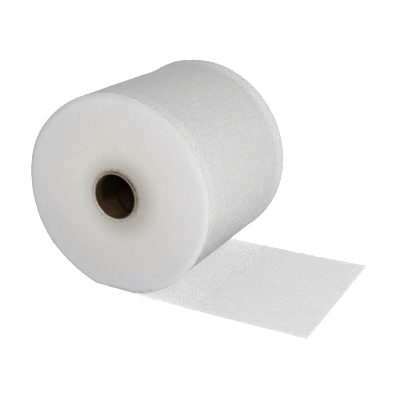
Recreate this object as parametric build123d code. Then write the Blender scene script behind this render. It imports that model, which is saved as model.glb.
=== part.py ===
from build123d import *

import os
from math import cos, exp, radians, sin

# A roll of small-bubble cushioning film wound on a cardboard core.  It lies on its side,
# settled onto a small flat spot, with the loose end of the sheet drawn out flat from
# under it.
#
# Frame: the origin is the centre of the core's bore, half way along it.  +Y runs along the
# core, +X points the way the loose sheet lies, +Z is up.  All sizes are in millimetres.

# The sheet
SHEET_WIDTH = 304.8  # across the sheet, which is the length of the roll
SHEET_HEIGHT = 4.8  # flat film with one layer of round bubbles, not pressed
LOOSE_LENGTH = 345.0  # from straight under the core to the cut end

# The wound roll
OUTER_RADIUS = 173.5  # core's axis to the outside of the last turn, where it leaves
TURN_PITCH = 4.4  # what one turn adds to the radius, a little less than the free sheet
SETTLE = 2.5  # how far the last turn is pressed flat where the roll rests
OUTLINE_STEP = 10  # degrees between the points of the roll's outline

# The soft roll is out of round in two places: a bulge high on the side away from the loose
# sheet, and a slack stretch below it.  Angles run from straight down towards +X.
BULGE_RISE = 2.6
BULGE_AT = 247.0
BULGE_SPREAD = 18.0
SLACK_DROP = 3.6
SLACK_AT = 328.0
SLACK_SPREAD = 22.0

# The cardboard core
CORE_BORE_RADIUS = 38.1
CORE_WALL = 3.5
CORE_RECESS = 1.0  # how far each end of the core lies inside the end of the roll

FULL_TURN = 360
FLOOR_Z = SETTLE - OUTER_RADIUS
CORE_OUTER_RADIUS = CORE_BORE_RADIUS + CORE_WALL
CORE_LENGTH = SHEET_WIDTH - 2 * CORE_RECESS


def swell(angle, height, at, spread):
    """Height of a smooth swelling of the outline, at an angle in degrees."""
    return height * exp(-(((angle - at) / spread) ** 2))


def outline_radius(angle):
    """Radius of the outermost film at an angle in degrees, 0 being just past the loose
    sheet and 360 the place where the last turn leaves the roll."""
    unwound = (1 - angle / FULL_TURN) * TURN_PITCH
    bulge = swell(angle, BULGE_RISE, BULGE_AT, BULGE_SPREAD)
    slack = swell(angle, SLACK_DROP, SLACK_AT, SLACK_SPREAD)
    return OUTER_RADIUS - unwound + bulge - slack


def outline_point(angle):
    """Point of the roll's outline as (x, z)."""
    radius = outline_radius(angle)
    return (radius * sin(radians(angle)), -radius * cos(radians(angle)))


def wound_section():
    """Section of all the turns: one turn of a spiral, closed where the sheet leaves it."""
    spiral = Spline([outline_point(a) for a in range(0, FULL_TURN + 1, OUTLINE_STEP)])
    step = Line(spiral @ 1, spiral @ 0)
    return make_face([spiral, step])


def box_section(x_low, x_high, z_low, z_high):
    """Rectangle in the section plane, from its two corners."""
    size = (x_high - x_low, z_high - z_low)
    return Pos(x_low, z_low) * Rectangle(*size, align=(Align.MIN, Align.MIN))


def along_core(section, length):
    """Section drawn in (x, z), stretched along Y about the middle of the roll."""
    far_end = Plane.XZ.offset(-length / 2)
    return extrude(far_end * section, length)


def make_bubble_wrap():
    """All the turns and the loose end of the sheet, as one body."""
    loose_sheet = box_section(0, LOOSE_LENGTH, FLOOR_Z, FLOOR_Z + SHEET_HEIGHT)
    pressed_flat = box_section(-OUTER_RADIUS, OUTER_RADIUS, -2 * OUTER_RADIUS, FLOOR_Z)
    section = wound_section() - pressed_flat + loose_sheet - Circle(CORE_OUTER_RADIUS)
    return along_core(section, SHEET_WIDTH)


def make_core_tube():
    """Spiral-wound cardboard tube that the first turn is wound straight onto."""
    section = Circle(CORE_OUTER_RADIUS) - Circle(CORE_BORE_RADIUS)
    return along_core(section, CORE_LENGTH)


os.makedirs("parts", exist_ok=True)
export_step(make_bubble_wrap(), "parts/bubble_wrap.step")
export_step(make_core_tube(), "parts/core_tube.step")
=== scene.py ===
"""Looks of a bubble wrap roll: small-bubble film on a cardboard core, its loose end drawn out flat."""

import logging
import math
from dataclasses import dataclass
from enum import Enum

import bmesh
import bpy
import numpy as np
from mathutils import Matrix, Vector, noise


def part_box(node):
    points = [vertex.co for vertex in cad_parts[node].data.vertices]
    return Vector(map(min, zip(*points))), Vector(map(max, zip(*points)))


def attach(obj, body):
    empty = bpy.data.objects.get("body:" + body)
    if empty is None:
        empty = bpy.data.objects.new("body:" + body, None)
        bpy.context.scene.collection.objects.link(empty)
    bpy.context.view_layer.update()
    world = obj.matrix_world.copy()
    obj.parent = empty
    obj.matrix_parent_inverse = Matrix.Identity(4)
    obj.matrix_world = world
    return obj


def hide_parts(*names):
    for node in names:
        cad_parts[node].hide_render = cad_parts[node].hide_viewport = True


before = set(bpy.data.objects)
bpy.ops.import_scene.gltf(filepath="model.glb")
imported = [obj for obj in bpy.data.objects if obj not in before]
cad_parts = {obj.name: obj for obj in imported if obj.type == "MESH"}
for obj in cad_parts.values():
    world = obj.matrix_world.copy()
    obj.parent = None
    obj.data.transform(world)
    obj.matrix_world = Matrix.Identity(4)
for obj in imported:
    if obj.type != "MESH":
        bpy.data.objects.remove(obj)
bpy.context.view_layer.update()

MM = 0.001
FULL_TURN = 2 * math.pi

# Stock sizes of the sheet, which the frame's box does not give.
BUBBLE_PITCH = 11.5 * MM
BUBBLE_ROW = BUBBLE_PITCH * math.sqrt(3) / 2
BUBBLE_RADIUS = 5.0 * MM
FIRST_BUBBLE_INSET = 5.3 * MM
TURN_PITCH = 4.4 * MM
SHEET_HEIGHT = 4.8 * MM
FILM_GAUGE = 0.25 * MM
CORE_WALL = 3.5 * MM
FILM_INSIDE_CORE = 0.5 * MM

# The seam of the core's inner ply: how far it runs along in one turn, and where it starts, in turns.
SEAM_LEAD = 110 * MM
SEAM_START = 0.01

# Points nearer than this are one, and points within this of an edge lie on it.
WELD = MM / 1000
ON_EDGE = MM / 10

PLACE = "sheet_place"
log = logging.getLogger("bubble_wrap_roll")


class End(Enum):
    """One of the two ends of the roll, by the side of the origin that it lies on."""

    FRONT = -1
    BACK = 1


def scatter(first: np.ndarray, second: np.ndarray, salt: float = 0.0) -> np.ndarray:
    """Give each pair of whole numbers its own fixed value.

    Args:
        first: one index of each item.
        second: the other index of each item.
        salt: chooses another set of values.

    Returns:
        Values from 0 to 1, the same on every run.
    """
    wave = np.sin(first * 12.9898 + second * 78.233 + salt * 37.719) * 43758.5453
    return wave - np.floor(wave)


def ripple(points: np.ndarray, size: float, salt: float = 0.0) -> np.ndarray:
    """Smooth unevenness over a set of points.

    Args:
        points: an array of shape (n, 3), in metres.
        size: about how far apart the swellings are, in metres.
        salt: chooses another pattern.

    Returns:
        Values from about -1 to 1.
    """
    shift = Vector((salt * 7.3, salt * 3.1, salt * 5.7))
    return np.array([noise.noise(Vector(p) / size + shift) for p in points])


def ease(value: np.ndarray, low: float, high: float) -> np.ndarray:
    """Ease from one value to another, with no kink at either.

    Args:
        value: what the result follows.
        low: the value that gives 0, which may be the larger one.
        high: the value that gives 1.

    Returns:
        Shares from 0 to 1.
    """
    share = np.clip((value - low) / (high - low), 0, 1)
    return share * share * (3 - 2 * share)


def mesh_points(mesh: bpy.types.Mesh) -> np.ndarray:
    """Read a mesh's vertices.

    Args:
        mesh: the mesh.

    Returns:
        Its points as an array of shape (n, 3).
    """
    flat = np.zeros(len(mesh.vertices) * 3)
    mesh.vertices.foreach_get("co", flat)
    return flat.reshape(-1, 3)


def set_mesh_points(mesh: bpy.types.Mesh, points: np.ndarray) -> None:
    """Write an array of shape (n, 3) to a mesh's vertices."""
    mesh.vertices.foreach_set("co", points.ravel())
    mesh.update()


def polar(points: np.ndarray) -> tuple:
    """Find where points lie about the core's axis.

    Args:
        points: an array of shape (n, 3).

    Returns:
        Their radii, and their angles from straight down towards +X, from -pi to pi.
    """
    return np.hypot(points[:, 0], points[:, 2]), np.arctan2(points[:, 0], -points[:, 2])


def set_radii(points: np.ndarray, new_radii: np.ndarray) -> None:
    """Move points straight in or out to new radii about the core's axis.

    Args:
        points: an array of shape (n, 3), which is changed.
        new_radii: the radius that each point gets.
    """
    radii, _angles = polar(points)
    direction = np.stack([points[:, 0], points[:, 2]], axis=1) / radii[:, None]
    points[:, 0], points[:, 2] = (direction * new_radii[:, None]).T


def spin_section(section: list, steps: int, closed: bool = True, turned: float = 0.0,
                 axis: tuple = (0, -1, 0)) -> bmesh.types.BMesh:
    """Spin a section a full turn about an axis through the origin and merge its seam.

    Args:
        section: the section's points, each as (x, y, z).
        steps: how many faces go round the turn.
        closed: whether the last point joins the first.
        turned: angle about Y at which the spin starts, in radians.
        axis: the axis of the spin.

    Returns:
        The spun shape.
    """
    shape = bmesh.new()
    verts = [shape.verts.new(point) for point in section]
    following = verts[1:] + verts[:1] if closed else verts[1:]
    edges = [shape.edges.new(pair) for pair in zip(verts, following)]
    bmesh.ops.rotate(shape, verts=verts, matrix=Matrix.Rotation(turned, 3, "Y"))
    bmesh.ops.spin(shape, geom=verts + edges, cent=(0, 0, 0), axis=axis, dvec=(0, 0, 0),
                   angle=FULL_TURN, steps=steps, use_merge=True)
    bmesh.ops.remove_doubles(shape, verts=shape.verts, dist=WELD)
    return shape


def set_place(mesh: bpy.types.Mesh, along: np.ndarray, across: np.ndarray,
              mark: np.ndarray) -> None:
    """Store where each vertex lies on the flat sheet, for the materials to read.

    Args:
        mesh: the mesh that gets the attribute.
        along: distance along the sheet from below the core, in metres.
        across: distance across the sheet from its middle, in metres.
        mark: 1 on the flat of the roll's ends and on single bubbles, one half on the
            ends' rounded shoulders, otherwise 0.
    """
    attribute = mesh.attributes.new(PLACE, "FLOAT_VECTOR", "POINT")
    place = np.stack([along, across, mark], axis=1)
    attribute.data.foreach_set("vector", place.ravel())


def smooth(mesh: bpy.types.Mesh) -> None:
    """Shade every face of a mesh smooth."""
    mesh.polygons.foreach_set("use_smooth", [True] * len(mesh.polygons))
    mesh.update()


def to_mesh(shape: bmesh.types.BMesh, name: str) -> bpy.types.Mesh:
    """Turn a finished bmesh into a smooth mesh and free it.

    Args:
        shape: the bmesh, which can't be used afterwards.
        name: the mesh's name.

    Returns:
        The mesh.
    """
    mesh = bpy.data.meshes.new(name)
    shape.to_mesh(mesh)
    shape.free()
    smooth(mesh)
    return mesh


def add_piece(name: str, mesh: bpy.types.Mesh, material: bpy.types.Material,
              node: str) -> bpy.types.Object:
    """Put a finished mesh into the scene as a piece that stands for a CAD node.

    Args:
        name: the piece's name.
        mesh: its mesh, already in place.
        material: its finish.
        node: the CAD node that it replaces.

    Returns:
        The new object.
    """
    piece = bpy.data.objects.new(name, mesh)
    bpy.context.scene.collection.objects.link(piece)
    mesh.materials.append(material)
    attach(piece, "root")
    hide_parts(node)
    log.info("%s: %d faces", name, len(mesh.polygons))
    return piece


@dataclass(frozen=True)
class BubbleLattice:
    """The regular pattern of bubbles on the flat sheet, in rows across it.

    Distances along the sheet are from below the core and grow towards the cut end. Every
    second row starts half a pitch further in from the sheet's far edge.
    """

    half_width: float
    pitch: float = BUBBLE_PITCH
    row: float = BUBBLE_ROW
    inset: float = FIRST_BUBBLE_INSET

    def nearest(self, along: np.ndarray, across: np.ndarray) -> tuple:
        """Find the nearest bubble of each point.

        Args:
            along: distances along the sheet.
            across: distances across it.

        Returns:
            The distance to the bubble's middle, and the bubble's row and place in it.
        """
        best = np.full(along.shape, np.inf)
        rows = np.zeros(along.shape)
        places = np.zeros(along.shape)
        for parity in (0, 1):
            row = 2 * np.round((along / self.row - parity) / 2) + parity
            start = self.half_width - self.inset - parity * self.pitch / 2
            place = np.round((start - across) / self.pitch)
            gap = np.hypot(along - row * self.row, across - start + place * self.pitch)
            closer = gap < best
            best = np.where(closer, gap, best)
            rows = np.where(closer, row, rows)
            places = np.where(closer, place, places)
        return best, rows, places

    def centres(self, start: float, end: float) -> list:
        """List the whole bubbles between two distances along the sheet.

        Args:
            start: where the first row may lie.
            end: where the last row may lie.

        Returns:
            One (along, across, row, place) for each bubble.
        """
        found = []
        for row in range(math.ceil(start / self.row), math.floor(end / self.row) + 1):
            first = self.half_width - self.inset - (row % 2) * self.pitch / 2
            place = 0
            while first - place * self.pitch > BUBBLE_RADIUS - self.half_width:
                found.append((row * self.row, first - place * self.pitch, row, place))
                place += 1
        return found


@dataclass
class RollOutline:
    """The roll's outline as the CAD body has it: radius against the angle from straight
    down towards the loose sheet, with the floor that the roll has settled on."""

    angles: np.ndarray
    radii: np.ndarray
    floor: float
    least_rim_share: float = 0.6
    near_floor: float = 0.5
    length_steps: int = 721

    @classmethod
    def of_node(cls, node: str, sheet_height: float) -> "RollOutline":
        """Read the outline from the rim of the CAD body's front end.

        Args:
            node: the CAD node of the wound film.
            sheet_height: height of the loose sheet, which is left out.

        Returns:
            The outline.
        """
        low, _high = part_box(node)
        points = mesh_points(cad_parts[node].data)
        radii, angles = polar(points)
        on_end = points[:, 1] < low.y + ON_EDGE
        on_sheet = (points[:, 2] < low.z + sheet_height + ON_EDGE / 10) & (points[:, 0] > 0)
        rim = on_end & (radii > cls.least_rim_share * -low.z) & ~on_sheet
        turned = angles[rim] % FULL_TURN
        order = np.argsort(turned)
        return cls(turned[order], radii[rim][order], low.z)

    def pressed(self, angle: np.ndarray, radius: np.ndarray) -> np.ndarray:
        """Hold radii back to the flat floor that the roll rests on.

        Args:
            angle: the angle of each radius.
            radius: the radii that the free roll would have.

        Returns:
            The radii, none of them below the floor.
        """
        down = np.cos(angle)
        to_floor = -self.floor / np.maximum(down, self.near_floor)
        return np.minimum(radius, np.where(down > self.near_floor, to_floor, np.inf))

    def radius(self, angle: np.ndarray) -> np.ndarray:
        """Radius of the outermost film at each angle, pressed flat on the floor."""
        return self.pressed(angle, np.interp(angle, self.angles, self.radii))

    def along(self, angle: np.ndarray) -> np.ndarray:
        """Follow the outermost film from where it leaves the roll.

        Args:
            angle: angles from 0 to a full turn.

        Returns:
            Distances along the sheet, which are below 0 on the roll.
        """
        steps = np.linspace(0, FULL_TURN, self.length_steps)
        length = np.concatenate([[0], np.cumsum(np.diff(steps) * self.radius(steps[1:]))])
        return np.interp(angle, steps, length) - length[-1]


@dataclass
class EndFace:
    """One end of the wound film: flat, dipped round the core and rounded at its rim."""

    end: End
    outline: RollOutline
    half_width: float
    inner_radius: float
    shoulder_depth: float = 8.5 * MM
    shoulder_length: float = 9.0 * MM
    shoulder_power: float = 1.7
    crown: float = 6.0 * MM
    crown_start: float = 0.3
    crown_power: float = 2.6
    flare: float = 1.4 * MM
    lean: float = 4.4 * MM
    funnel_depth: float = 1.2 * MM
    funnel_reach: float = 9.0 * MM
    dish_depth: float = 3.2 * MM
    dish_reach: float = 30.0 * MM
    front_lean_at: float = 320.0
    back_lean_at: float = 140.0
    wave: float = 0.4 * MM
    broad_wave: float = 60 * MM
    fine_wave: float = 14 * MM
    fine_share: float = 0.35
    slip_period: float = 5.5 * MM
    slip_beat: float = 13 * MM
    slip_share: float = 0.5
    shoulder_calm: float = 0.6

    def rim_radius(self, angle: np.ndarray) -> np.ndarray:
        """Find the rim, where the outer turns have slipped to one side.

        Args:
            angle: angles about the core's axis.

        Returns:
            The rim's radius at each of them.
        """
        lean_at = math.radians(self.front_lean_at if self.end is End.FRONT else self.back_lean_at)
        rim = self.outline.radius(angle) + self.flare + self.lean * np.cos(angle - lean_at)
        return self.outline.pressed(angle, rim)

    def height(self, points: np.ndarray) -> np.ndarray:
        """Find how far out the end's surface stands.

        Args:
            points: points on the end, of which only x and z count.

        Returns:
            The surface's distance from the roll's middle at each of them.
        """
        radii, angles = polar(points)
        rim = self.rim_radius(angles % FULL_TURN)
        nominal = -self.outline.floor
        depth = self.shoulder_depth * (rim - self.inner_radius) / (nominal - self.inner_radius)
        rounded = np.clip(1 - (rim - radii) / depth, 0, 1)
        share = (radii - self.inner_radius) / (rim - self.inner_radius)
        crown = np.clip((share - self.crown_start) / (1 - self.crown_start), 0, 1)
        drop = (self.crown * crown**self.crown_power
                + (self.shoulder_length - self.crown) * rounded**self.shoulder_power)
        flat = np.stack([points[:, 0], np.full(len(points), float(self.end.value)),
                         points[:, 2]], axis=1)
        inward = self.inner_radius - radii
        funnel = (self.funnel_depth * np.exp(inward / self.funnel_reach)
                  + self.dish_depth * np.exp(inward / self.dish_reach))
        broad = ripple(flat, self.broad_wave, self.end.value)
        fine = ripple(flat, self.fine_wave, 3 + self.end.value)
        slipped = np.sin(radii / self.slip_period) * np.sin(radii / self.slip_beat + self.end.value)
        uneven = self.wave * (broad + self.fine_share * fine + self.slip_share * slipped)
        return self.half_width - funnel - drop + uneven * (1 - self.shoulder_calm * rounded)


@dataclass
class WoundFilm:
    """All the turns on the core: one closed, soft-edged body with bubbles under its skin."""

    outline: RollOutline
    lattice: BubbleLattice
    inner_radius: float
    half_width: float
    steps: int = 500
    barrel_columns: int = 120
    face_rings: int = 26
    shoulder_rings: int = 8
    flare_reach: float = 34.0 * MM
    bubble_rise: float = 0.42 * MM
    edge_rise: float = 0.45 * MM
    least_rise: float = 0.6
    more_rise: float = 0.8
    dome_reach: float = 1.1 * BUBBLE_RADIUS
    slack: float = 0.5 * MM
    slack_size: float = 70 * MM
    pucker_size: float = 24 * MM
    pucker_share: float = 0.45
    mark_inside: float = 4 * MM
    mark_outside: float = 6 * MM

    def face(self, end: End) -> EndFace:
        """The surface of one end."""
        return EndFace(end, self.outline, self.half_width, self.inner_radius)

    def profile(self) -> list:
        """Draw half a section of the roll.

        Returns:
            Its points as (radius, y), from one end of the bore to the other.
        """
        reach = -self.outline.floor
        face = self.face(End.BACK)
        flat_end = reach - face.shoulder_depth
        side = []
        for ring in range(self.face_rings + 1):
            share = ring / self.face_rings
            side.append((self.inner_radius + share * (flat_end - self.inner_radius), self.half_width))
        for ring in range(1, self.shoulder_rings + 1):
            share = ring / self.shoulder_rings
            side.append((flat_end + face.shoulder_depth * share,
                         self.half_width - face.shoulder_length * share**face.shoulder_power))
        barrel_end = self.half_width - face.shoulder_length
        barrel = [(reach, barrel_end - 2 * barrel_end * column / self.barrel_columns)
                  for column in range(1, self.barrel_columns)]
        front = [(radius, -across) for radius, across in side]
        return front + [(r, -y) for r, y in barrel] + list(reversed(side))

    def lathe(self) -> bpy.types.Mesh:
        """Spin the section about the core's axis into a closed body.

        Returns:
            The body's mesh.
        """
        section = [(0, y, -radius) for radius, y in self.profile()]
        shape = spin_section(section, self.steps, turned=-math.pi / self.steps)
        bmesh.ops.recalc_face_normals(shape, faces=shape.faces)
        return to_mesh(shape, "wound_film")

    def skin(self, along: np.ndarray, across: np.ndarray, points: np.ndarray,
             at_end: np.ndarray) -> np.ndarray:
        """Find how far the outer film stands out over its bubbles and slack places.

        Args:
            along: distances along the sheet.
            across: distances across it.
            points: the places in space of the same points.
            at_end: 1 by the ends, where the bubbles are fuller, and 0 away from them.

        Returns:
            Distances outwards, in metres.
        """
        gap, row, place = self.lattice.nearest(along, across)
        rise = self.bubble_rise + self.edge_rise * at_end
        rise = rise * (self.least_rise + self.more_rise * scatter(row, place))
        dome = rise * np.clip(1 - (gap / self.dome_reach) ** 2, 0, 1)
        pucker = self.pucker_share * ripple(points, self.pucker_size, 9)
        return dome + self.slack * (ripple(points, self.slack_size, 5) + pucker)

    def fit_outline(self, points: np.ndarray, angles: np.ndarray, at_end: np.ndarray) -> np.ndarray:
        """Stretch the round body to the roll's outline, and to the slipped rims at its ends.

        Args:
            points: the body's points, which are changed.
            angles: their angles, from 0 to a full turn.
            at_end: 1 at the rims and 0 away from the ends.

        Returns:
            The outline's radius at each point.
        """
        radii, _angles = polar(points)
        back, front = (self.face(end).rim_radius(angles) for end in (End.BACK, End.FRONT))
        rim = np.where(points[:, 1] > 0, back, front)
        reach = self.outline.radius(angles) * (1 - at_end) + rim * at_end
        share = (radii - self.inner_radius) / (-self.outline.floor - self.inner_radius)
        set_radii(points, self.inner_radius + share * (reach - self.inner_radius))
        return reach

    def shape_mesh(self) -> bpy.types.Mesh:
        """Give the lathed body its outline, its uneven ends and its bubbles.

        Returns:
            The finished mesh.
        """
        mesh = self.lathe()
        points = mesh_points(mesh)
        radii, angles = polar(points)
        angles = angles % FULL_TURN
        nominal = -self.outline.floor
        face = self.face(End.BACK)
        along, across = self.outline.along(angles), points[:, 1]
        barrel_end = self.half_width - face.shoulder_length
        at_end = ease(np.abs(across), self.half_width - self.flare_reach, barrel_end)
        flat_end = nominal - face.shoulder_depth
        on_flat = 1 - ease(radii, flat_end - self.mark_inside, flat_end + self.mark_outside)
        reach = self.fit_outline(points, angles, at_end)
        new_radii, _angles = polar(points)
        for end in End:
            facing = across * end.value > barrel_end - ON_EDGE
            points[facing, 1] = end.value * self.face(end).height(points[facing])
        on_end = np.abs(across) > barrel_end - ON_EDGE
        off_floor = ease(reach * -np.cos(angles), self.outline.floor, self.outline.floor + 3 * MM)
        skin_share = off_floor * ease(radii, nominal - 0.5 * face.shoulder_depth, nominal)
        raised = 1 + skin_share * self.skin(along, across, points, at_end) / new_radii
        points[:, 0] *= raised
        points[:, 2] *= raised
        set_mesh_points(mesh, points)
        set_place(mesh, along, across, 0.5 * on_end * (1 + on_flat))
        return mesh

    def build(self, finish: "FilmFinish") -> bpy.types.Object:
        """Make the piece and dress it."""
        return add_piece("wound_film", self.shape_mesh(), finish.material("wound_film"),
                         "bubble_wrap")


@dataclass
class TurnEdges:
    """The edges of the turns on one end: the flat film as a spiral line, and the bubbled
    film as a row of small arches between one turn and the next."""

    film: WoundFilm
    end: End
    proud: float = 0.13 * MM
    sunk: float = 0.05 * MM
    line_width: float = 1.5 * MM
    line_step: float = 5.0 * MM
    arch_step: float = 2.4 * MM
    arch_height: float = 3.6 * MM
    rim_inset: float = 1.5 * MM
    flat_inset: float = 0.6 * MM
    arch_inset: float = 0.8 * MM
    uneven_length: float = 31 * MM

    def spiral(self, step: float) -> tuple:
        """Follow the flat film inwards from where the last turn leaves the roll.

        Args:
            step: distance between the points, in metres.

        Returns:
            The angle, radius and distance along the sheet of each point.
        """
        outer, inner = -self.film.outline.floor, self.film.inner_radius
        turns = (outer - inner) / TURN_PITCH - 1
        start = outer - self.film.face(self.end).shoulder_depth
        count = int(FULL_TURN * (start + inner) / 2 * turns / step)
        radius_guess = np.sqrt(np.linspace(start**2, (inner + TURN_PITCH / 2) ** 2, count))
        wound = (outer - radius_guess) / TURN_PITCH * FULL_TURN
        angle = (-wound) % FULL_TURN
        fold = np.ceil(wound / FULL_TURN - 1e-9)
        rim = self.film.face(self.end).rim_radius(angle)
        radius = rim - self.rim_inset - np.maximum(fold - 1, 0) * TURN_PITCH
        along = -np.concatenate([[0], np.cumsum(np.abs(np.diff(wound)) * radius[1:])])
        return angle, radius, along

    def ribbon(self, angle: np.ndarray, radius: np.ndarray, width: np.ndarray,
               proud: np.ndarray, name: str) -> bmesh.types.BMesh:
        """Lay a low ridge along a line on the end.

        Args:
            angle: angle of each point of the line.
            radius: radius of each point.
            width: width of the ridge's foot there.
            proud: height of the ridge there.
            name: name for the mesh in between.

        Returns:
            The ridge as a bmesh.
        """
        shape = bmesh.new()
        count = len(angle)
        bmesh.ops.create_grid(shape, x_segments=count - 1, y_segments=2, size=1)
        mesh = bpy.data.meshes.new(name)
        shape.to_mesh(mesh)
        shape.clear()
        grid = mesh_points(mesh)
        item = np.clip(np.round((grid[:, 0] + 1) / 2 * (count - 1)).astype(int), 0, count - 1)
        side = np.round(grid[:, 1])
        reach = radius[item] + side * width[item] / 2
        points = np.stack([reach * np.sin(angle[item]), np.zeros(len(item)),
                           -reach * np.cos(angle[item])], axis=1)
        lift = np.where(side == 0, proud[item], -self.sunk)
        height = self.film.face(self.end).height(points)
        points[:, 1] = self.end.value * (height + lift)
        set_mesh_points(mesh, points)
        shape.from_mesh(mesh)
        bpy.data.meshes.remove(mesh)
        return shape

    def flat_film(self) -> bmesh.types.BMesh:
        """Lay the edge of the flat film.

        Returns:
            A low ridge along the spiral.
        """
        angle, radius, along = self.spiral(self.line_step)
        uneven = 0.5 + 0.8 * scatter(np.floor(along / self.uneven_length), np.zeros_like(along))
        width = np.full(len(angle), self.line_width)
        return self.ribbon(angle, radius - self.flat_inset, width, self.proud * uneven, "flat_edge")

    def bubbled_film(self) -> bmesh.types.BMesh:
        """Lay the edge of the bubbled film, arched over every bubble that the edge cuts.

        Returns:
            A low ridge along the arches.
        """
        angle, radius, along = self.spiral(self.arch_step)
        spacing = 2 * BUBBLE_ROW
        number = np.round(along / spacing)
        reach = (along - number * spacing) / BUBBLE_RADIUS
        height = self.arch_height * (0.55 + 0.45 * scatter(number, np.ones_like(number)))
        arch = height * np.sqrt(np.clip(1 - reach**2, 0, 1))
        width = np.full(len(angle), 0.7 * self.line_width)
        proud = self.proud * (0.35 + 0.5 * scatter(number, np.zeros_like(number), 2))
        return self.ribbon(angle, radius - self.arch_inset - arch, width, proud, "bubbled_edge")

    def build(self, finish: "FilmFinish") -> bpy.types.Object:
        """Make the piece for this end and dress it.

        Args:
            finish: what the piece is dressed with.

        Returns:
            The piece.
        """
        name = f"turn_edges_{self.end.name.lower()}"
        both = bpy.data.meshes.new(name)
        shape = self.flat_film()
        second = self.bubbled_film()
        second.to_mesh(both)
        second.free()
        shape.from_mesh(both)
        bpy.data.meshes.remove(both)
        for face in shape.faces:
            face.normal_update()
        flipped = [f for f in shape.faces if f.normal.y * self.end.value < 0]
        bmesh.ops.reverse_faces(shape, faces=flipped)
        mesh = to_mesh(shape, name)
        return add_piece(name, mesh, finish.material("turn_edges"), "bubble_wrap")


@dataclass
class MouthFilm:
    """The innermost film at one end, crumpled against the core and over part of its rim."""

    face: EndFace
    core_outer: float
    core_half_length: float
    steps: int = 240
    rings: int = 12
    reach: float = 9.0 * MM
    crumple: float = 1.5 * MM
    over_rim: float = 3.6 * MM
    off_rim: float = 4.0 * MM
    over_core: float = 0.25 * MM
    outer_tuck: float = 0.3 * MM
    wander: float = 17 * MM
    jitter: float = 5 * MM
    fold: float = 7 * MM
    fine_fold: float = 2.6 * MM
    open_at: float = 135.0

    def crumpled(self, points: np.ndarray) -> np.ndarray:
        """Crumple the flat ring, and draw it over the core's rim away from its open side.

        Args:
            points: the flat ring's points, which are changed.

        Returns:
            The same points in place on the roll's end.
        """
        radius, angle = polar(points)
        share = (radius - self.core_outer) / self.reach
        around = np.stack([np.sin(angle), np.full_like(angle, self.face.end.value),
                           -np.cos(angle)], axis=1) * self.core_outer
        wander = 0.5 + 0.5 * ripple(around, self.wander, 31) + 0.4 * ripple(around, self.jitter, 33)
        open_side = 0.5 + 0.5 * np.cos(angle - math.radians(self.open_at))
        inward = self.over_rim * np.clip(0.6 * wander + 0.5 - 0.95 * open_side, -0.15, 1)
        new_radius = radius - inward * (1 - share)
        set_radii(points, new_radius)
        folds = (np.abs(ripple(around + points, self.fold, 37))
                 + 0.5 * ripple(points, self.fine_fold, 39))
        crest = np.sin(math.pi * np.clip(share, 0.08, 1) ** 0.7)
        lift = self.crumple * (0.15 + 0.85 * open_side) * np.clip(folds, -0.1, 1) * crest
        on_rim = 1 - ease(new_radius, self.core_outer, self.core_outer + self.off_rim)
        base = np.maximum(self.face.height(points) - self.outer_tuck * ease(share, 0.7, 1.0),
                          (self.core_half_length + self.over_core) * on_rim)
        points[:, 1] = self.face.end.value * (base + np.clip(lift, 0, None))
        return points

    def build(self, finish: "FilmFinish") -> bpy.types.Object:
        """Make the crumpled ring and dress it.

        Args:
            finish: what the piece is dressed with.

        Returns:
            The piece.
        """
        name = f"mouth_film_{self.face.end.name.lower()}"
        section = [(0, 0, -(self.core_outer + self.reach * (ring / self.rings)))
                   for ring in range(self.rings + 1)]
        shape = spin_section(section, self.steps, closed=False)
        places = self.crumpled(np.array([vert.co[:] for vert in shape.verts]))
        for vert, place in zip(shape.verts, places):
            vert.co = place
        bmesh.ops.recalc_face_normals(shape, faces=shape.faces)
        bmesh.ops.solidify(shape, geom=shape.faces[:], thickness=FILM_GAUGE)
        bmesh.ops.recalc_face_normals(shape, faces=shape.faces)
        return add_piece(name, to_mesh(shape, name), finish.material("mouth_film"),
                         "bubble_wrap")


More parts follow.
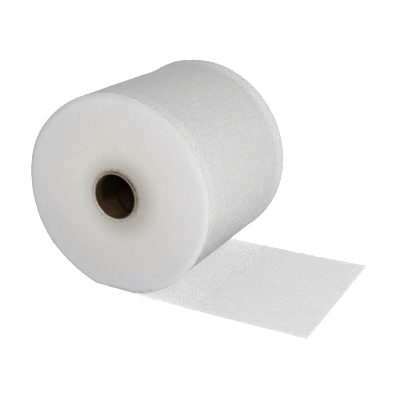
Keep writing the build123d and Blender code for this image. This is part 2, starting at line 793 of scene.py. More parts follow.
@dataclass
class LooseSheet:
    """The loose end of the sheet: a thin film on the floor with its bubbles upwards."""

    lattice: BubbleLattice
    outline: RollOutline
    length: float
    height: float
    half_width: float
    tucked: float = 22 * MM
    cell: float = 4.0 * MM
    wave: float = 0.7 * MM
    curl: float = 2.2 * MM
    nibble: float = 1.3 * MM
    nibble_size: float = 17 * MM
    broad_wave: float = 85 * MM
    fine_wave: float = 30 * MM
    edge_share: float = 0.03
    least_bubble: float = 0.6 * MM
    dented_share: float = 0.05
    dented_height: float = 0.45
    most_lean: float = 0.24
    dome_sides: int = 12

    def lift(self, along: np.ndarray, across: np.ndarray) -> np.ndarray:
        """Find how far the film lies above the floor in its shallow waves.

        Args:
            along: distances along the sheet.
            across: distances across it.

        Returns:
            Heights in metres, largest at the curled far corner.
        """
        place = np.stack([along, across, np.zeros_like(along)], axis=1)
        broad, fine = ripple(place, self.broad_wave, 11), ripple(place, self.fine_wave, 13)
        waves = 0.5 + 0.5 * broad + 0.25 * fine
        free = ease(along, 25 * MM, 90 * MM)
        curl = ease(along, 0.7 * self.length, self.length) * ease(across, -0.4 * self.half_width,
                                                                   self.half_width)
        return self.wave * np.clip(waves, 0, None) * free + self.curl * curl

    def headroom(self, along: np.ndarray) -> np.ndarray:
        """Find the room between the floor and the roll above the sheet.

        Args:
            along: distances along the sheet.

        Returns:
            The room's height in metres, or 1 where nothing is above.
        """
        reach = self.outline.radii[0]
        inside = np.clip(reach**2 - along**2, 0, None)
        return np.where(np.abs(along) < reach, -self.outline.floor - np.sqrt(inside), 1.0)

    def base(self) -> bmesh.types.BMesh:
        """Make the flat film, as a thin closed sheet.

        Returns:
            The sheet, in its place on the floor.
        """
        shape = bmesh.new()
        start = -self.tucked
        columns = round((self.length - start) / self.cell)
        rows = round(2 * self.half_width / self.cell)
        bmesh.ops.create_grid(shape, x_segments=columns, y_segments=rows, size=1)
        for vert in shape.verts:
            vert.co.x = start + (vert.co.x + 1) / 2 * (self.length - start)
            vert.co.y *= self.half_width
        places = np.array([v.co[:] for v in shape.verts])
        lifts = self.lift(places[:, 0], places[:, 1])
        between = 0.5 - 0.5 * np.cos(math.pi * places[:, 0] / BUBBLE_ROW)
        far = places[:, 1] > 0
        bites = self.nibble * (np.abs(ripple(places, self.nibble_size, 21)) + far * between)
        for vert, lift, bite in zip(shape.verts, lifts, bites):
            off_middle = abs(vert.co.y) / self.half_width
            at_edge = max(0.0, off_middle - 1 + self.edge_share) / self.edge_share
            vert.co.y -= math.copysign(at_edge * bite, vert.co.y)
            vert.co.z = self.outline.floor + FILM_GAUGE + lift
        bmesh.ops.solidify(shape, geom=shape.faces[:], thickness=FILM_GAUGE)
        bmesh.ops.recalc_face_normals(shape, faces=shape.faces)
        return shape

    def dome(self) -> bpy.types.Mesh:
        """Spin one bubble of unit height and its real width.

        Returns:
            The bubble's mesh, about the origin.
        """
        outline = [(1.0, 0.0), (0.95, 0.45), (0.74, 0.86), (0.38, 0.99), (0.0, 1.0)]
        section = [(share * BUBBLE_RADIUS, 0, height) for share, height in outline]
        shape = spin_section(section, self.dome_sides, closed=False, axis=(0, 0, 1))
        bmesh.ops.recalc_face_normals(shape, faces=shape.faces)
        mesh = bpy.data.meshes.new("one_bubble")
        shape.to_mesh(mesh)
        shape.free()
        return mesh

    def bubbles(self) -> list:
        """Choose the place, height and lean of each bubble.

        Returns:
            One (along, across, foot, height, lean) for each bubble.
        """
        centres = self.lattice.centres(6 * MM, self.length - BUBBLE_RADIUS)
        along, across, row, place = np.array(centres).T
        foot = self.lift(along, across)
        full = self.height - 2 * FILM_GAUGE - self.wave
        soft = 0.86 + 0.14 * scatter(row, place, 1)
        dented = np.where(scatter(row, place, 2) < self.dented_share, self.dented_height, 1.0)
        room = self.headroom(along - BUBBLE_RADIUS) - 3 * FILM_GAUGE
        height = np.minimum(full * soft * dented, room)
        lean = (scatter(row, place, 3) - 0.5) * self.most_lean
        keep = height > self.least_bubble
        return list(zip(along[keep], across[keep], foot[keep], height[keep], lean[keep]))

    def build(self, finish: "FilmFinish") -> bpy.types.Object:
        """Make the film with all its bubbles as one piece and dress it.

        Args:
            finish: what the piece is dressed with.

        Returns:
            The piece.
        """
        shape = self.base()
        base_count = len(shape.verts)
        dome = self.dome()
        bottom = self.outline.floor + 2 * FILM_GAUGE
        for along, across, foot, height, lean in self.bubbles():
            count = len(shape.verts)
            shape.from_mesh(dome)
            shape.verts.ensure_lookup_table()
            for vert in shape.verts[count:]:
                share = vert.co.z
                vert.co.x += along + lean * share * height
                vert.co.y += across + lean * share * height / 2
                vert.co.z = bottom + foot - FILM_GAUGE * 0.6 + share * height
        bpy.data.meshes.remove(dome)
        mesh = to_mesh(shape, "loose_sheet")
        points = mesh_points(mesh)
        on_bubble = np.arange(len(points)) >= base_count
        set_place(mesh, points[:, 0], points[:, 1], on_bubble.astype(float))
        return add_piece("loose_sheet", mesh, finish.material("loose_sheet"),
                         "bubble_wrap")


@dataclass
class CoreTube:
    """The spiral-wound board tube, with the seam of its inner ply and soft cut ends."""

    node: str
    sides: int = 128
    rows: int = 76
    seam_depth: float = 0.35 * MM
    seam_width: float = 1.6 * MM
    edge_rings: int = 5
    rounding: float = 0.5 * MM
    flat_cut: float = 0.7
    fibre_height: float = 0.12 * MM
    fibre_size: float = 6 * MM
    frayed_height: float = 0.22 * MM
    frayed_size: float = 3 * MM
    frayed_reach: float = 1.5 * MM

    def lathe(self, inner: float, outer: float, half_length: float) -> bpy.types.Mesh:
        """Spin the section of the wall about the axis, with rounded cut edges.

        Args:
            inner: the bore's radius.
            outer: the tube's outer radius.
            half_length: half the tube's length.

        Returns:
            The tube's mesh.
        """
        cut = []
        for ring in range(self.edge_rings + 1):
            share = ring / self.edge_rings
            edge = max(0.0, abs(2 * share - 1) - self.flat_cut) / (1 - self.flat_cut)
            cut.append((inner + share * (outer - inner), half_length - self.rounding * edge**2))
        bore_end = half_length - self.rounding
        wall = [(inner, bore_end - 2 * bore_end * row / self.rows) for row in range(1, self.rows)]
        wall += [(radius, -y) for radius, y in cut]
        wall += [(outer, share * half_length) for share in (-0.98, 0.0, 0.98)]
        wall += reversed(cut)
        section = [(0, y, -radius) for radius, y in wall]
        shape = spin_section(section, self.sides)
        bmesh.ops.recalc_face_normals(shape, faces=shape.faces)
        return to_mesh(shape, "core_tube")

    def build(self, finish: "BoardFinish") -> bpy.types.Object:
        """Make the tube and dress it.

        Args:
            finish: what the piece is dressed with.

        Returns:
            The piece.
        """
        _low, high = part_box(self.node)
        outer, half_length = high.x, high.y
        inner = outer - CORE_WALL
        mesh = self.lathe(inner, outer, half_length)
        points = mesh_points(mesh)
        radii, angles = polar(points)
        winding = points[:, 1] / SEAM_LEAD + angles / FULL_TURN + SEAM_START
        off_seam = np.abs(winding - np.round(winding)) * SEAM_LEAD
        groove = self.seam_depth * np.exp(-((off_seam / self.seam_width) ** 2))
        in_bore = 1 - ease(radii, inner + 0.1 * MM, inner + 0.4 * MM)
        fibre = self.fibre_height * ripple(points, self.fibre_size, 17)
        push = 1 + in_bore * (groove + fibre) / radii
        points[:, 0] *= push
        points[:, 2] *= push
        at_end = ease(np.abs(points[:, 1]), half_length - self.frayed_reach, half_length)
        frayed = self.frayed_height * np.abs(ripple(points, self.frayed_size, 19))
        points[:, 1] -= np.sign(points[:, 1]) * at_end * frayed
        set_mesh_points(mesh, points)
        return add_piece("core_tube", mesh, finish.material("core_board"), self.node)


class ShaderTree:
    """Short ways to add and link the nodes of one node tree."""

    def __init__(self, tree: bpy.types.NodeTree) -> None:
        """Start on an empty tree."""
        self.tree = tree
        tree.nodes.clear()

    @classmethod
    def of_material(cls, name: str) -> tuple:
        """Start a new material with one shader.

        Args:
            name: the material's name.

        Returns:
            The material, its tree and its shader node.
        """
        material = bpy.data.materials.new(name)
        material.use_nodes = True
        tree = cls(material.node_tree)
        shader = tree.add("BsdfPrincipled")
        output = tree.add("OutputMaterial")
        tree.put(output.inputs["Surface"], shader.outputs[0])
        return material, tree, shader

    def add(self, kind: str, **values: object) -> bpy.types.Node:
        """Add a node and set its properties.

        Args:
            kind: the node's type name without its prefix.
            values: properties of the node, by name.

        Returns:
            The node.
        """
        node = self.tree.nodes.new("ShaderNode" + kind)
        for name, value in values.items():
            setattr(node, name, value)
        return node

    def put(self, target: bpy.types.NodeSocket, value: object) -> None:
        """Link an input, or set its own value.

        Args:
            target: the input that is fed.
            value: a socket to link, or a plain value to set.
        """
        if isinstance(value, bpy.types.NodeSocket):
            self.tree.links.new(value, target)
        else:
            target.default_value = value

    def math(self, operation: str, *values: object, clamp: bool = False) -> bpy.types.NodeSocket:
        """Add a Math node.

        Args:
            operation: the node's operation.
            values: its inputs, each a socket or a number.
            clamp: whether the result is held between 0 and 1.

        Returns:
            The node's result.
        """
        node = self.add("Math", operation=operation, use_clamp=clamp)
        for socket, value in zip(node.inputs, values):
            self.put(socket, value)
        return node.outputs[0]

    def spread(self, value: object, low: float, high: float, to_low: float = 0.0,
               to_high: float = 1.0) -> bpy.types.NodeSocket:
        """Map a value smoothly from one range to another.

        Args:
            value: the value, as a socket or a number.
            low: the value that gives to_low, which may be above high.
            high: the value that gives to_high.
            to_low: the result at low.
            to_high: the result at high.

        Returns:
            The mapped value.
        """
        node = self.add("MapRange", interpolation_type="SMOOTHSTEP")
        for socket, number in zip(node.inputs[:5], (value, low, high, to_low, to_high)):
            self.put(socket, number)
        return node.outputs[0]

    def blend(self, share: object, first: object, second: object,
              mode: str = "MIX") -> bpy.types.NodeSocket:
        """Mix two colours.

        Args:
            share: the second colour's share.
            first: the first colour.
            second: the second colour.
            mode: how they are mixed.

        Returns:
            The mixed colour.
        """
        node = self.add("Mix", data_type="RGBA", blend_type=mode)
        self.put(node.inputs[0], share)
        self.put(node.inputs[6], first)
        self.put(node.inputs[7], second)
        return node.outputs[2]

    def noise(self, vector: bpy.types.NodeSocket, scale: float, detail: float = 3.0,
              rough: float = 0.5) -> bpy.types.NodeSocket:
        """Add a noise texture.

        Args:
            vector: the coordinates that it follows.
            scale: how many of its swellings fit in a metre.
            detail: how many finer layers it has.
            rough: how strong those are.

        Returns:
            Its value, from 0 to 1.
        """
        node = self.add("TexNoise")
        self.put(node.inputs["Vector"], vector)
        self.put(node.inputs["Scale"], scale)
        self.put(node.inputs["Detail"], detail)
        self.put(node.inputs["Roughness"], rough)
        return node.outputs["Fac"]

    def stretched(self, vector: bpy.types.NodeSocket, scale: tuple) -> bpy.types.NodeSocket:
        """Scale a vector along each axis.

        Args:
            vector: the vector.
            scale: the factor for each axis.

        Returns:
            The scaled vector.
        """
        node = self.add("Mapping")
        self.put(node.inputs["Vector"], vector)
        self.put(node.inputs["Scale"], scale)
        return node.outputs["Vector"]

    def axes(self, vector: bpy.types.NodeSocket) -> tuple:
        """Split a vector into its three numbers.

        Args:
            vector: the vector.

        Returns:
            Its x, y and z.
        """
        node = self.add("SeparateXYZ")
        self.put(node.inputs[0], vector)
        return tuple(node.outputs)

    def length(self, first: object, second: object) -> bpy.types.NodeSocket:
        """Length of a vector that has two parts, square to each other."""
        squares = [self.math("MULTIPLY", value, value) for value in (first, second)]
        return self.math("SQRT", self.math("ADD", *squares))

    def turns(self, x: object, z: object) -> bpy.types.NodeSocket:
        """Angle about the core's axis from straight down towards +X, in turns."""
        angle = self.math("ARCTAN2", x, self.math("MULTIPLY", z, -1.0))
        return self.math("DIVIDE", angle, FULL_TURN)

    def effect(self, group: bpy.types.NodeTree, **links: object) -> dict:
        """Place a shared effect.

        Args:
            group: the effect's node group.
            links: what feeds each of its inputs, by name.

        Returns:
            Its outputs, by name.
        """
        node = self.add("Group", node_tree=group)
        for name, value in links.items():
            self.put(node.inputs[name], value)
        return dict(node.outputs.items())

    def bump(self, shader: bpy.types.Node, height: object, strength: float,
             distance: float) -> None:
        """Feed a height to a shader's normal.

        Args:
            shader: the shader node.
            height: the height, as a socket.
            strength: how far it turns the normal.
            distance: the height's unit, in metres.
        """
        node = self.add("Bump")
        self.put(node.inputs["Strength"], strength)
        self.put(node.inputs["Distance"], distance)
        self.put(node.inputs["Height"], height)
        self.put(shader.inputs["Normal"], node.outputs[0])


def start_group(name: str, inputs: dict, outputs: tuple) -> tuple:
    """Make an empty shader node group with named sockets.

    Args:
        name: the group's name.
        inputs: socket type by input name.
        outputs: names of its outputs, which are all values.

    Returns:
        The group, its ShaderTree, its input node and its output node.
    """
    group = bpy.data.node_groups.new(name, "ShaderNodeTree")
    tree = ShaderTree(group)
    for socket, kind in inputs.items():
        group.interface.new_socket(socket, in_out="INPUT", socket_type="NodeSocket" + kind)
    for socket in outputs:
        group.interface.new_socket(socket, in_out="OUTPUT", socket_type="NodeSocketFloat")
    return group, tree, group.nodes.new("NodeGroupInput"), group.nodes.new("NodeGroupOutput")


class FilmPatterns:
    """The shared effects of the film: its bubbles, its turns and its creases."""

    def __init__(self, half_width: float) -> None:
        """Build each effect once.

        Args:
            half_width: half the sheet's width, in metres.
        """
        self.half_width = half_width
        self.bubbles = self.make_bubbles()
        self.turns = self.make_turns()
        self.creases = self.make_creases()

    def make_bubbles(self) -> bpy.types.NodeTree:
        """Lay rows of round bubbles on the flat sheet.

        Returns:
            A group that gives each bubble's dome and the line round its foot.
        """
        group, tree, source, sink = start_group(
            "bubble_rows", {"Place": "Vector", "Shift": "Float"}, ("Dome", "Rim"))
        place = tree.axes(source.outputs["Place"])
        start = self.half_width - FIRST_BUBBLE_INSET
        gaps = []
        for parity in (0, 1):
            shifted = tree.math("ADD", place[0], source.outputs["Shift"])
            along = tree.math("PINGPONG", tree.math("ADD", shifted, parity * BUBBLE_ROW), BUBBLE_ROW)
            offset = tree.math("ADD", place[1], parity * BUBBLE_PITCH / 2 - start)
            gaps.append(tree.length(along, tree.math("PINGPONG", offset, BUBBLE_PITCH / 2)))
        gap = tree.math("MINIMUM", *gaps)
        tree.put(sink.inputs["Dome"], tree.spread(gap, BUBBLE_RADIUS * 1.08, BUBBLE_RADIUS * 0.5))
        inner = tree.spread(gap, BUBBLE_RADIUS * 0.72, BUBBLE_RADIUS)
        outer = tree.spread(gap, BUBBLE_RADIUS * 1.15, BUBBLE_RADIUS)
        tree.put(sink.inputs["Rim"], tree.math("MULTIPLY", inner, outer))
        return group

    def make_turns(self) -> bpy.types.NodeTree:
        """Draw the turns seen on the roll's ends, as a spiral of fine lines.

        Returns:
            A group that gives the radius, the line of each turn and the turns' mottling.
        """
        group, tree, source, sink = start_group(
            "wound_turns", {"Point": "Vector"}, ("Radius", "Line", "Mottle"))
        x, y, z = tree.axes(source.outputs["Point"])
        radius, turn = tree.length(x, z), tree.turns(x, z)
        count = tree.math("SUBTRACT", tree.math("DIVIDE", radius, TURN_PITCH), turn)
        line = tree.spread(tree.math("PINGPONG", count, 0.5), 0.16, 0.0)
        unrolled = tree.add("CombineXYZ")
        tree.put(unrolled.inputs[0], tree.math("MULTIPLY", turn, 60.0))
        tree.put(unrolled.inputs[1], count)
        tree.put(unrolled.inputs[2], y)
        tree.put(sink.inputs["Radius"], radius)
        tree.put(sink.inputs["Line"], line)
        tree.put(sink.inputs["Mottle"], tree.noise(unrolled.outputs[0], 0.9, 2.0))
        return group

    def make_creases(self) -> bpy.types.NodeTree:
        """Crease thin film finely and slacken it in places.

        Returns:
            A group that gives their height.
        """
        group, tree, source, sink = start_group("film_creases", {"Point": "Vector"}, ("Height",))
        point = source.outputs["Point"]
        broad = tree.noise(point, 22.0, 2.0)
        fine = tree.noise(tree.stretched(point, (1.0, 0.35, 1.0)), 160.0, 3.0, 0.6)
        crease = tree.spread(tree.math("PINGPONG", tree.noise(point, 48.0, 4.0, 0.62), 0.08), 0.0, 0.03)
        total = tree.math("ADD", tree.math("MULTIPLY", broad, 0.7), tree.math("MULTIPLY", fine, 0.25))
        tree.put(sink.inputs["Height"], tree.math("ADD", total, tree.math("MULTIPLY", crease, -0.12)))
        return group


@dataclass(frozen=True)
class FilmFinish:
    """Milky polyethylene film, solid white where the turns lie together."""

    patterns: FilmPatterns
    core_radius: float
    white: tuple = (0.70, 0.70, 0.70, 1.0)
    warm: tuple = (0.72, 0.708, 0.667, 1.0)
    cool: tuple = (0.72, 0.715, 0.73, 1.0)
    shade: tuple = (0.50, 0.485, 0.465, 1.0)
    # Grey of the painted shade on the ends' lower part and on their shoulders.
    painted_shade: tuple = (0.53, 0.53, 0.54, 1.0)
    # Board tint seen through the film by the core, mixed with painted shade; also the painted shade in the
    # mouth film's folds.
    core_shade: tuple = (0.34, 0.31, 0.285, 1.0)
    board_tint: tuple = (0.34, 0.28, 0.21, 1.0)
    rim_film: tuple = (0.56, 0.53, 0.49, 1.0)
    core_tint_and_shade: float = 0.6
    painted_shade_shift: float = 9 * MM
    painted_low_shade: float = 0.35
    mottling: float = 0.07
    turn_lines: float = 0.03
    bubble_rims: float = 0.08
    bubbles_below: float = 0.05
    painted_shoulder_shade: float = 0.35
    film_cover: float = 0.39
    bubble_cover: float = 0.09
    cover_in_roll_shade: float = 0.6
    refraction: float = 1.45

    def material(self, name: str) -> bpy.types.Material:
        """Build the finish of one of the film's pieces.

        Args:
            name: the finish's name, which chooses it.

        Returns:
            The material.
        """
        material, tree, shader = ShaderTree.of_material(name)
        point = tree.add("TexCoord").outputs["Object"]
        place = tree.add("Attribute", attribute_name=PLACE).outputs["Vector"]
        if name == "wound_film":
            self.dress_wound(tree, shader, point, place)
        elif name == "turn_edges":
            self.dress_edges(tree, shader, point)
        elif name == "mouth_film":
            self.dress_mouth(tree, shader, point)
        else:
            self.dress_sheet(tree, shader, point, place)
        return material

    def end_colour(self, tree: ShaderTree, point: object) -> bpy.types.NodeSocket:
        """Colour the roll's ends: warm in the middle, cool at the rim, darker by the core, where the
        board's tint shows through and painted shade is added, and with painted shade towards the floor.

        Args:
            tree: the material's tree.
            point: the object coordinates.

        Returns:
            The colour.
        """
        turns = tree.effect(self.patterns.turns, Point=point)
        radius = turns["Radius"]
        outward = tree.spread(radius, self.core_radius * 1.9, self.core_radius * 4.0)
        colour = tree.blend(outward, self.warm, self.cool)
        x, _y, z = tree.axes(point)
        # The ring round the core is darkened: partly the board's tint through the film, partly painted
        # shade in the dip, shifted darker on the +X side.
        side = tree.math("MULTIPLY", tree.math("DIVIDE", x, radius), -self.painted_shade_shift)
        by_core = tree.spread(tree.math("ADD", radius, side), self.core_radius * 2.0,
                              self.core_radius * 0.93)
        # Painted shade: the lower part of each end is darkened towards the floor.
        low = tree.spread(z, 60 * MM, -160 * MM, 0.0, self.painted_low_shade)
        colour = tree.blend(low, colour, self.painted_shade)
        core_darkening = tree.math("MULTIPLY", by_core, self.core_tint_and_shade)
        colour = tree.blend(core_darkening, colour, self.core_shade)
        colour = tree.blend(tree.spread(turns["Mottle"], 0.3, 0.7, 0.0, self.mottling), colour, self.shade)
        return tree.blend(tree.math("MULTIPLY", turns["Line"], self.turn_lines), colour, self.shade)

    def dress_wound(self, tree: ShaderTree, shader: bpy.types.Node, point: object,
                    place: object) -> None:
        """Dress the wound film: bubbled skin round the barrel, turns on the ends, painted shade on the
        shoulders between them.

        Args:
            tree: the material's tree.
            shader: its shader node.
            point: the object coordinates.
            place: the place on the flat sheet.
        """
        skin = tree.effect(self.patterns.bubbles, Place=place, Shift=0.0)
        under = tree.effect(self.patterns.bubbles, Place=place, Shift=0.37 * BUBBLE_ROW)
        crease = tree.effect(self.patterns.creases, Point=point)
        _along, _across, mark = tree.axes(place)
        on_end, on_shoulder = tree.spread(mark, 0.5, 1.0), tree.spread(mark, 0.0, 0.5)
        barrel = self.white
        # The rounded shoulders get painted shade, which tones them down where the lamps light them
        # brightest.
        for mask, share, shade in ((skin["Rim"], self.bubble_rims, self.shade),
                                   (under["Dome"], self.bubbles_below, self.shade),
                                   (on_shoulder, self.painted_shoulder_shade, self.painted_shade)):
            barrel = tree.blend(tree.math("MULTIPLY", mask, share), barrel, shade)
        ends = self.end_colour(tree, point)
        tree.put(shader.inputs["Base Color"], tree.blend(on_end, barrel, ends))
        gloss = tree.spread(tree.noise(point, 35.0, 3.0), 0.35, 0.7, 0.2, 0.36)
        dull = tree.math("ADD", gloss, tree.math("MULTIPLY", on_end, 0.2))
        tree.put(shader.inputs["Roughness"], dull)
        relief = tree.math("ADD", tree.math("MULTIPLY", skin["Dome"], 0.5), crease["Height"])
        tree.bump(shader, relief, 0.35, 0.8 * MM)
        shader.inputs["Subsurface Weight"].default_value = 0.5
        shader.inputs["Subsurface Radius"].default_value = (1.0, 0.97, 0.92)
        shader.inputs["Subsurface Scale"].default_value = 0.012
        shader.inputs["IOR"].default_value = self.refraction
        shader.inputs["Coat Weight"].default_value = 0.15
        shader.inputs["Coat Roughness"].default_value = 0.2

    def dress_edges(self, tree: ShaderTree, shader: bpy.types.Node, point: object) -> None:
        """Dress the film's cut edges, a little glossier than the turns below them.

        Args:
            tree: the material's tree.
            shader: its shader node.
            point: the object coordinates.
        """
        tree.put(shader.inputs["Base Color"], self.end_colour(tree, point))
        gloss = tree.spread(tree.noise(point, 90.0, 2.0), 0.3, 0.7, 0.25, 0.5)
        tree.put(shader.inputs["Roughness"], gloss)

    def dress_mouth(self, tree: ShaderTree, shader: bpy.types.Node, point: object) -> None:
        """Dress the crumpled film by the core: clear and glossy, with painted shade in its folds,
        strongest on its open side.

        Args:
            tree: the material's tree.
            shader: its shader node.
            point: the object coordinates.
        """
        folds = tree.noise(point, 240.0, 3.0, 0.6)
        x, _y, z = tree.axes(point)
        radius, rising = tree.length(x, z), tree.math("ADD", x, z)
        outward = tree.spread(radius, self.core_radius, self.core_radius + 9 * MM)
        open_side = tree.spread(tree.math("DIVIDE", rising, radius), -0.3, 1.1)
        by_rim = tree.blend(open_side, self.rim_film, self.board_tint)
        clean = tree.blend(outward, by_rim, self.warm)
        # Painted shade in the folds, strongest on the open side.
        fold_shade = tree.math("MULTIPLY", tree.spread(folds, 0.52, 0.64, 0.0, 0.55),
                               tree.math("ADD", tree.math("MULTIPLY", open_side, 0.8), 0.2))
        colour = tree.blend(fold_shade, clean, self.core_shade)
        tree.put(shader.inputs["Base Color"], colour)
        tree.put(shader.inputs["Roughness"], tree.spread(folds, 0.3, 0.7, 0.1, 0.3))
        haze = tree.spread(tree.noise(point, 150.0, 2.0), 0.35, 0.65, 0.15, 0.5)
        over_rim = tree.spread(radius, self.core_radius + 1 * MM, self.core_radius - 1 * MM)
        cover = tree.math("SUBTRACT", 0.75, tree.math("MULTIPLY", open_side, 0.4))
        covered = tree.math("ADD", haze, tree.math("MULTIPLY", over_rim, cover), clamp=True)
        tree.put(shader.inputs["Alpha"], covered)
        tree.bump(shader, folds, 0.5, 0.5 * MM)

    def dress_sheet(self, tree: ShaderTree, shader: bpy.types.Node, point: object,
                    place: object) -> None:
        """Dress the single loose sheet, which lets some of the floor show through, and more of it near the
        roll, as painted light in the roll's shade.

        Args:
            tree: the material's tree.
            shader: its shader node.
            point: the object coordinates.
            place: the place on the flat sheet.
        """
        skin = tree.effect(self.patterns.bubbles, Place=place, Shift=0.0)
        crease = tree.effect(self.patterns.creases, Point=point)
        haze = tree.spread(tree.noise(point, 12.0, 3.0), 0.3, 0.7)
        colour = tree.blend(haze, self.white, self.cool)
        rims = tree.math("MULTIPLY", skin["Rim"], self.bubble_rims)
        tree.put(shader.inputs["Base Color"], tree.blend(rims, colour, self.shade))
        tree.put(shader.inputs["Roughness"], tree.spread(crease["Height"], 0.3, 0.7, 0.16, 0.34))
        along, _across, on_bubble = tree.axes(place)
        film = tree.spread(on_bubble, 0.2, 0.8, self.film_cover, self.bubble_cover)
        # Painted light: the film covers less near the roll, so the white floor lightens it where the roll
        # shades it.
        by_roll = tree.spread(along, 30 * MM, 190 * MM, self.cover_in_roll_shade, 1.0)
        tree.put(shader.inputs["Alpha"], tree.math("MULTIPLY", film, by_roll))
        tree.bump(shader, crease["Height"], 0.25, 0.6 * MM)
        shader.inputs["IOR"].default_value = self.refraction


@dataclass(frozen=True)
class BoardFinish:
    """Plain brown kraft board, wound from plies."""

    half_length: float
    kraft: tuple = (0.13, 0.072, 0.032, 1.0)
    pale: tuple = (0.29, 0.225, 0.15, 1.0)
    dark: tuple = (0.04, 0.023, 0.010, 1.0)
    # Near-black of the painted shade deep in the bore, also used for the seam's dark line.
    inside: tuple = (0.006, 0.0027, 0.0008, 1.0)
    ply: float = 0.7 * MM
    # Reach and strength of the painted shade in the bore.
    dim_above: float = 24 * MM
    dim_below: float = 260 * MM
    dimmest: float = 0.93
    seam_inside: float = 1.0 * MM
    seam_outside: float = 3.5 * MM
    seam_strength: float = 0.8

    def surface(self, tree: ShaderTree, point: object, fibre: object) -> bpy.types.NodeSocket:
        """Colour the board: fibres, paler clouds and dark specks.

        Args:
            tree: the material's tree.
            point: the object coordinates.
            fibre: the noise that the fibres follow.

        Returns:
            The colour.
        """
        speck = tree.noise(point, 900.0, 2.0)
        cloud = tree.noise(point, 30.0, 3.0)
        colour = tree.blend(tree.spread(fibre, 0.35, 0.7), self.dark, self.kraft)
        colour = tree.blend(tree.spread(cloud, 0.3, 0.75, 0.0, 0.2), colour, self.pale)
        return tree.blend(tree.spread(speck, 0.62, 0.78, 0.0, 0.5), colour, self.dark)

    def painted_bore_shade(self, tree: ShaderTree, y: object, height: object) -> bpy.types.NodeSocket:
        """Paint shade into the bore: darker with depth, soonest on its upper side.

        Args:
            tree: the material's tree.
            y: the place along the core.
            height: from -1 at the bottom of the bore to 1 at its top.

        Returns:
            How much painted shade it gets, from 0 to 1.
        """
        down = tree.spread(height, -0.35, -1.0)
        depth = tree.math("SUBTRACT", self.half_length, tree.math("ABSOLUTE", y))
        deep = tree.blend(down, tree.spread(depth, 0.0, self.dim_above),
                          tree.spread(depth, 0.0, self.dim_below))
        side = tree.math("MULTIPLY", tree.math("SUBTRACT", 1.0, down), 0.5)
        return tree.math("MULTIPLY", tree.math("MAXIMUM", deep, side), self.dimmest)

    def seam(self, tree: ShaderTree, y: object, turn: object) -> bpy.types.NodeSocket:
        """Mark the seam of the inner ply.

        Args:
            tree: the material's tree.
            y: the place along the core.
            turn: the angle about the core's axis, in turns.

        Returns:
            How strong the seam's line is.
        """
        winding = tree.math("ADD", tree.math("DIVIDE", y, SEAM_LEAD), turn)
        off_seam = tree.math("PINGPONG", tree.math("ADD", winding, SEAM_START), 0.5)
        line = tree.spread(off_seam, self.seam_outside / SEAM_LEAD, self.seam_inside / SEAM_LEAD)
        return tree.math("MULTIPLY", line, self.seam_strength)

    def material(self, name: str) -> bpy.types.Material:
        """Build the board's finish: a bore with painted shade and its seam, and plies on the cut ends.

        Args:
            name: the material's name.

        Returns:
            The material.
        """
        material, tree, shader = ShaderTree.of_material(name)
        point = tree.add("TexCoord").outputs["Object"]
        x, y, z = tree.axes(point)
        radius = tree.length(x, z)
        fibre = tree.noise(tree.stretched(point, (1.0, 3.0, 1.0)), 260.0, 5.0, 0.65)
        # Painted shade in the bore, deepening away from its mouths.
        dim = self.painted_bore_shade(tree, y, tree.math("DIVIDE", z, radius))
        colour = tree.blend(dim, self.surface(tree, point, fibre), self.inside)
        colour = tree.blend(self.seam(tree, y, tree.turns(x, z)), colour, self.inside)
        layer = tree.math("PINGPONG", tree.math("DIVIDE", radius, self.ply), 0.5)
        cut = tree.blend(tree.spread(layer, 0.0, 0.3), self.kraft, self.pale)
        at_end = tree.spread(tree.math("ABSOLUTE", y), self.half_length - 1.2 * MM,
                             self.half_length - 0.3 * MM)
        tree.put(shader.inputs["Base Color"], tree.blend(at_end, colour, cut))
        tree.put(shader.inputs["Roughness"], tree.spread(fibre, 0.3, 0.7, 0.75, 0.95))
        tree.bump(shader, fibre, 0.5, 0.4 * MM)
        shader.inputs["Specular IOR Level"].default_value = 0.12
        return material


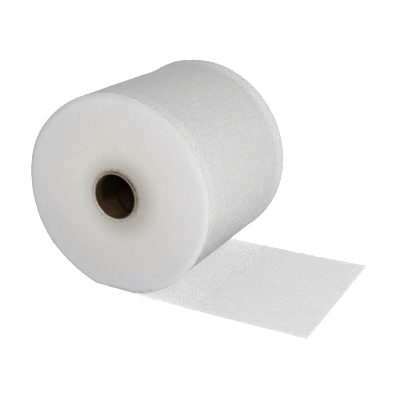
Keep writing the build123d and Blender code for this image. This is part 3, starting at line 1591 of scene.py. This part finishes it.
@dataclass
class Studio:
    """Plain pale floor, soft light and the camera."""

    floor_z: float
    floor_size: float = 60.0
    azimuth: float = 27.75
    elevation: float = 20.25
    roll: float = 0.53
    stand: tuple = (0.7357, -1.2495, 0.4806)
    lens: float = 76.98
    white: float = 1.0
    surround: float = 0.52
    lamp_size: float = 1.6
    sensor: float = 36.0

    def build(self) -> None:
        """Make the whole setting."""
        self.add_floor()
        self.add_world()
        self.add_lamp("key", (2.6, -1.6, 0.5), (0.05, 0.0, -0.05), 38.0)
        self.add_lamp("front", (1.3, -2.65, 0.4), (0.0, 0.0, 0.05), 30.5)
        self.add_lamp("back", (-0.6, 2.9, 0.3), (0.0, 0.0, 0.0), 20.0)
        self.add_camera()
        bpy.context.scene.view_settings.view_transform = "Standard"

    def unlit_share(self, tree: ShaderTree) -> bpy.types.NodeSocket:
        """1 for rays from the camera, straight or through clear film, otherwise 0."""
        path = tree.add("LightPath")
        return tree.math("MAXIMUM", path.outputs["Is Camera Ray"], path.outputs["Is Transmission Ray"])

    def add_floor(self) -> None:
        """A white floor that shows the object's soft shadow and nothing else."""
        shape = bmesh.new()
        bmesh.ops.create_grid(shape, x_segments=1, y_segments=1, size=self.floor_size / 2)
        bmesh.ops.translate(shape, verts=shape.verts, vec=(0, 0, self.floor_z))
        floor = bpy.data.objects.new("floor", to_mesh(shape, "floor"))
        bpy.context.scene.collection.objects.link(floor)
        material, tree, shader = ShaderTree.of_material("floor_white")
        shader.inputs["Base Color"].default_value = (0.8, 0.8, 0.8, 1.0)
        shader.inputs["Roughness"].default_value = 0.9
        shader.inputs["Specular IOR Level"].default_value = 0.0
        shader.inputs["Emission Color"].default_value = (1.0, 1.0, 1.0, 1.0)
        tree.put(shader.inputs["Emission Strength"], self.unlit_share(tree))
        floor.data.materials.append(material)

    def add_world(self) -> None:
        """Even light from all round, behind which the background is white."""
        world = bpy.data.worlds.new("surround")
        bpy.context.scene.world = world
        world.use_nodes = True
        tree = ShaderTree(world.node_tree)
        light = tree.add("Background")
        output = tree.add("OutputWorld")
        tree.put(output.inputs[0], light.outputs[0])
        share = self.unlit_share(tree)
        level = tree.math("ADD", tree.math("MULTIPLY", share, self.white - self.surround), self.surround)
        tree.put(light.inputs["Color"], (1.0, 1.0, 1.0, 1.0))
        tree.put(light.inputs["Strength"], level)

    def add_lamp(self, name: str, place: tuple, aim: tuple, power: float) -> None:
        """Add one soft square lamp, which doesn't show in glossy surfaces.

        Args:
            name: the lamp's name.
            place: where it stands, in metres.
            aim: the point that it faces.
            power: its power, in watts.
        """
        data = bpy.data.lights.new(name, "AREA")
        data.size = self.lamp_size
        data.energy = power
        lamp = bpy.data.objects.new(name, data)
        lamp.visible_camera = False
        lamp.visible_glossy = False
        lamp.location = place
        lamp.rotation_euler = (Vector(aim) - Vector(place)).to_track_quat("-Z", "Y").to_euler()
        bpy.context.scene.collection.objects.link(lamp)

    def add_camera(self) -> None:
        """Stand the camera level with the roll, a little above it and to its right."""
        data = bpy.data.cameras.new("camera")
        data.lens = self.lens
        data.sensor_width = self.sensor
        data.dof.use_dof = False
        camera = bpy.data.objects.new("camera", data)
        turn, tilt = math.radians(self.azimuth), math.radians(self.elevation)
        back = Vector((math.sin(turn) * math.cos(tilt), -math.cos(turn) * math.cos(tilt), math.sin(tilt)))
        right = Vector((math.cos(turn), math.sin(turn), 0))
        up = back.cross(right)
        turned = Matrix((right, up, back)).transposed() @ Matrix.Rotation(math.radians(self.roll), 3, "Z")
        camera.matrix_world = Matrix.Translation(self.stand) @ turned.to_4x4()
        bpy.context.scene.collection.objects.link(camera)
        bpy.context.scene.camera = camera


def main() -> None:
    """Build the setting and every piece of the roll, in order."""
    logging.basicConfig(level=logging.INFO, format="%(name)s: %(message)s")
    wrap_low, wrap_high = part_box("bubble_wrap")
    _low, core_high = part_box("core_tube")
    half_width = wrap_high.y
    outline = RollOutline.of_node("bubble_wrap", SHEET_HEIGHT)
    lattice = BubbleLattice(half_width)
    patterns = FilmPatterns(half_width)
    film = FilmFinish(patterns, core_high.x)
    Studio(wrap_low.z).build()
    wound = WoundFilm(outline, lattice, core_high.x - FILM_INSIDE_CORE, half_width)
    wound.build(film)
    for end in End:
        TurnEdges(wound, end).build(film)
        MouthFilm(wound.face(end), core_high.x, core_high.y).build(film)
    LooseSheet(lattice, outline, wrap_high.x, SHEET_HEIGHT, half_width).build(film)
    CoreTube("core_tube").build(BoardFinish(core_high.y))


if __name__ == "__main__":
    main()
